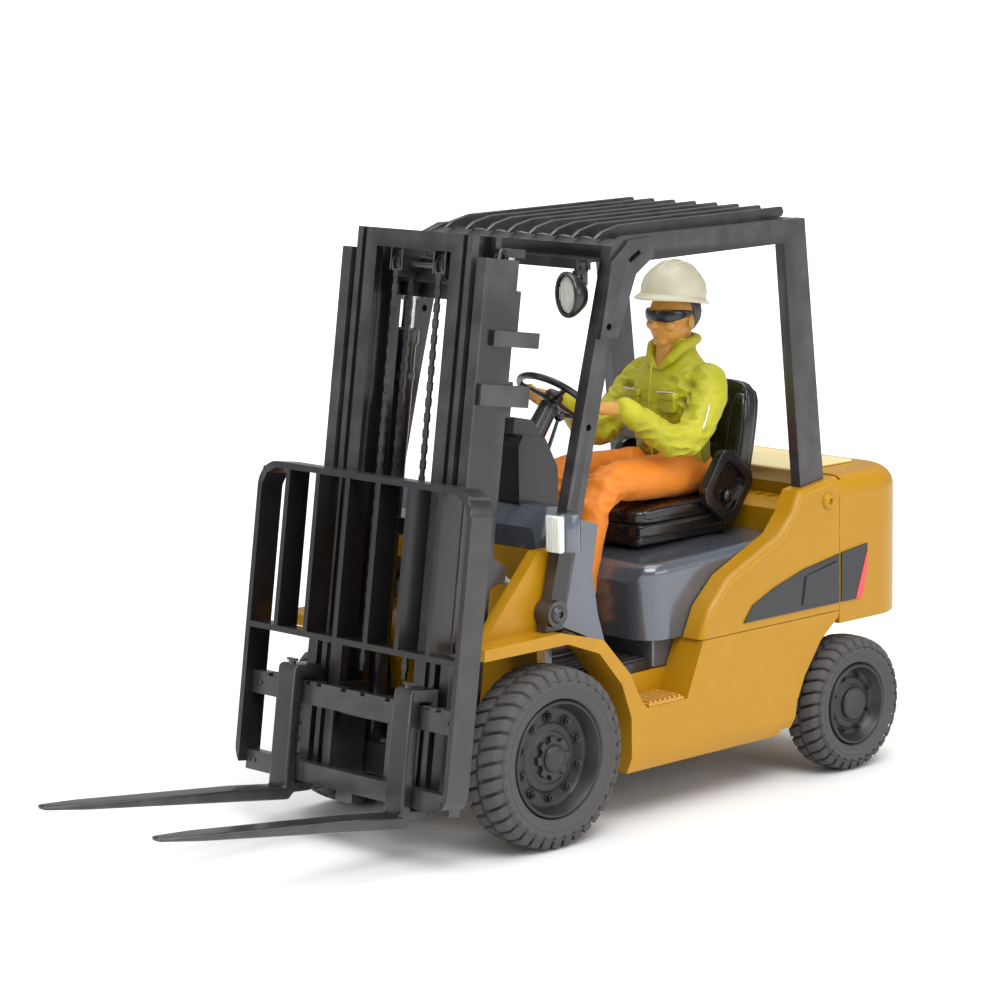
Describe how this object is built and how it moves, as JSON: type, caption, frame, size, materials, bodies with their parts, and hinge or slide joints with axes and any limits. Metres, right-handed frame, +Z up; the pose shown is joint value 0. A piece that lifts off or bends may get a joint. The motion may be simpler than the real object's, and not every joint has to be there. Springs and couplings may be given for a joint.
{
  "type": "toy forklift",
  "caption": "Scale-model counterbalance forklift with a tilting two-stage mast, sliding forks, overhead guard, steering rear wheels and a seated driver.",
  "frame": {"origin": "on the ground under the middle of the model's length and width, at the bottom centre of its bounding box", "axes": "+Z up; the truck faces -Y, so +Y is its rear; +X is the truck's left side"},
  "size_m": [0.0462, 0.144, 0.0862],
  "materials": {
    "yellow_paint": "satin enamel",
    "black_paint": "satin enamel",
    "dark_plastic": "matt",
    "gloss_black": "gloss",
    "cowl_grey": "semi-gloss",
    "cream_paint": "satin enamel",
    "tyre_rubber": "matt",
    "rim_black": "satin",
    "badge_black": "gloss",
    "lens": "gloss",
    "steel": "polished",
    "screw_steel": "plain",
    "jacket_green": "matt",
    "skin": "matt",
    "hat_cream": "semi-gloss",
    "trouser_orange": "matt",
    "boot_brown": "matt"
  },
  "bodies": {
    "chassis": {"lower_frame": "yellow_paint", "base_plate": "black_paint", "base_screws": "screw_steel", "step_treads": "yellow_paint", "cab_floor": "dark_plastic", "front_cowl": "cowl_grey", "instrument_panel": "dark_plastic", "control_levers": "dark_plastic", "foot_pedals": "dark_plastic", "engine_hood": "cowl_grey", "hood_base": "cowl_grey", "upper_body": "yellow_paint", "counterweight": "yellow_paint", "radiator_cover": "cream_paint", "body_badges": "badge_black", "overhead_guard": "black_paint", "roof_slats": "black_paint", "guard_bolts": "black_paint", "head_lamp_housings": "dark_plastic", "head_lamp_lenses": "lens", "marker_lamp_housings": "dark_plastic", "marker_lamp_lenses": "lens", "seat_base": "gloss_black", "seat_cushion": "gloss_black", "seat_back": "gloss_black", "hip_restraints": "gloss_black", "driver_jacket": "jacket_green", "driver_head": "skin", "driver_hard_hat": "hat_cream", "driver_glasses": "gloss_black", "driver_hands": "skin", "driver_trousers": "trouser_orange", "driver_boots": "boot_brown", "drive_axle": "black_paint", "steer_axle": "black_paint"},
    "steering_wheel": {"steering_wheel": "dark_plastic"},
    "front_left_wheel": {"front_left_tyre": "tyre_rubber", "front_left_rim": "rim_black"},
    "front_right_wheel": {"front_right_tyre": "tyre_rubber", "front_right_rim": "rim_black"},
    "left_knuckle": {"left_steer_knuckle": "black_paint"},
    "right_knuckle": {"right_steer_knuckle": "black_paint"},
    "rear_left_wheel": {"rear_left_tyre": "tyre_rubber", "rear_left_rim": "rim_black"},
    "rear_right_wheel": {"rear_right_tyre": "tyre_rubber", "rear_right_rim": "rim_black"},
    "outer_mast": {"outer_mast": "black_paint", "lift_cylinders": "black_paint"},
    "inner_mast": {"inner_mast": "black_paint", "lift_pistons": "steel", "lift_chains": "black_paint"},
    "chain_sheaves": {"chain_sheaves": "black_paint"},
    "carriage": {"fork_carriage": "black_paint", "load_backrest": "black_paint"},
    "left_fork": {"left_fork": "black_paint"},
    "right_fork": {"right_fork": "black_paint"},
    "left_tilt_barrel": {"left_tilt_barrel": "black_paint"},
    "right_tilt_barrel": {"right_tilt_barrel": "black_paint"},
    "left_tilt_rod": {"left_tilt_rod": "steel"},
    "right_tilt_rod": {"right_tilt_rod": "steel"}
  },
  "joints": [
    {"name": "mast_tilt", "type": "hinge", "parent": "chassis", "child": "outer_mast", "pos_m": [0, -0.00803, 0.013], "axis": [-1, 0, 0], "range_deg": [-10.29, 2.71]},
    {"name": "mast_raise", "type": "slide", "parent": "outer_mast", "child": "inner_mast", "axis": [0, 0.1442, 0.9896], "range_m": [0, 0.058]},
    {"name": "carriage_raise", "type": "slide", "parent": "inner_mast", "child": "carriage", "axis": [0, 0.1442, 0.9896], "range_m": [0, 0.058]},
    {"name": "sheave_turn", "type": "hinge", "parent": "inner_mast", "child": "chain_sheaves", "pos_m": [0, -0.01064, 0.08109], "axis": [-1, 0, 0], "continuous": true},
    {"name": "left_fork_shift", "type": "slide", "parent": "carriage", "child": "left_fork", "axis": [1, 0, 0], "range_m": [-0.0026, 0.005]},
    {"name": "right_fork_shift", "type": "slide", "parent": "carriage", "child": "right_fork", "axis": [-1, 0, 0], "range_m": [-0.0026, 0.005]},
    {"name": "steering_wheel_turn", "type": "hinge", "parent": "chassis", "child": "steering_wheel", "pos_m": [0, 0.01437, 0.0599], "axis": [0, 0.6231, 0.7821], "range_deg": [-110, 14]},
    {"name": "front_left_wheel_spin", "type": "hinge", "parent": "chassis", "child": "front_left_wheel", "pos_m": [0.019, -0.00803, 0.013], "axis": [1, 0, 0], "continuous": true},
    {"name": "front_right_wheel_spin", "type": "hinge", "parent": "chassis", "child": "front_right_wheel", "pos_m": [-0.019, -0.00803, 0.013], "axis": [1, 0, 0], "continuous": true},
    {"name": "left_steer", "type": "hinge", "parent": "chassis", "child": "left_knuckle", "pos_m": [0.0135, 0.05597, 0.0103], "axis": [0, 0, 1], "range_deg": [-40, 40]},
    {"name": "right_steer", "type": "hinge", "parent": "chassis", "child": "right_knuckle", "pos_m": [-0.0135, 0.05597, 0.0103], "axis": [0, 0, 1], "range_deg": [-40, 40]},
    {"name": "rear_left_wheel_spin", "type": "hinge", "parent": "left_knuckle", "child": "rear_left_wheel", "pos_m": [0.0198, 0.05597, 0.0103], "axis": [1, 0, 0], "continuous": true},
    {"name": "rear_right_wheel_spin", "type": "hinge", "parent": "right_knuckle", "child": "rear_right_wheel", "pos_m": [-0.0198, 0.05597, 0.0103], "axis": [1, 0, 0], "continuous": true},
    {"name": "left_tilt_barrel_swing", "type": "hinge", "parent": "chassis", "child": "left_tilt_barrel", "pos_m": [0.0131, 0.00117, 0.0308], "axis": [1, 0, 0], "range_deg": [-3.11, 10.97]},
    {"name": "left_tilt_rod_slide", "type": "slide", "parent": "left_tilt_barrel", "child": "left_tilt_rod", "axis": [0, -0.8361, 0.5485], "range_m": [-0.00104, 0.00367]},
    {"name": "right_tilt_barrel_swing", "type": "hinge", "parent": "chassis", "child": "right_tilt_barrel", "pos_m": [-0.0131, 0.00117, 0.0308], "axis": [1, 0, 0], "range_deg": [-3.11, 10.97]},
    {"name": "right_tilt_rod_slide", "type": "slide", "parent": "right_tilt_barrel", "child": "right_tilt_rod", "axis": [0, -0.8361, 0.5485], "range_m": [-0.00104, 0.00367]}
  ],
  "couplings": [
    {"joint": "carriage_raise", "follows": "mast_raise", "ratio": 1},
    {"joint": "right_steer", "follows": "left_steer", "ratio": 1},
    {"joint": "left_tilt_barrel_swing", "follows": "mast_tilt", "ratio": -1.0373},
    {"joint": "left_tilt_rod_slide", "follows": "mast_tilt", "m_per_rad": -0.019904},
    {"joint": "right_tilt_barrel_swing", "follows": "mast_tilt", "ratio": -1.0373},
    {"joint": "right_tilt_rod_slide", "follows": "mast_tilt", "m_per_rad": -0.019904}
  ]
}
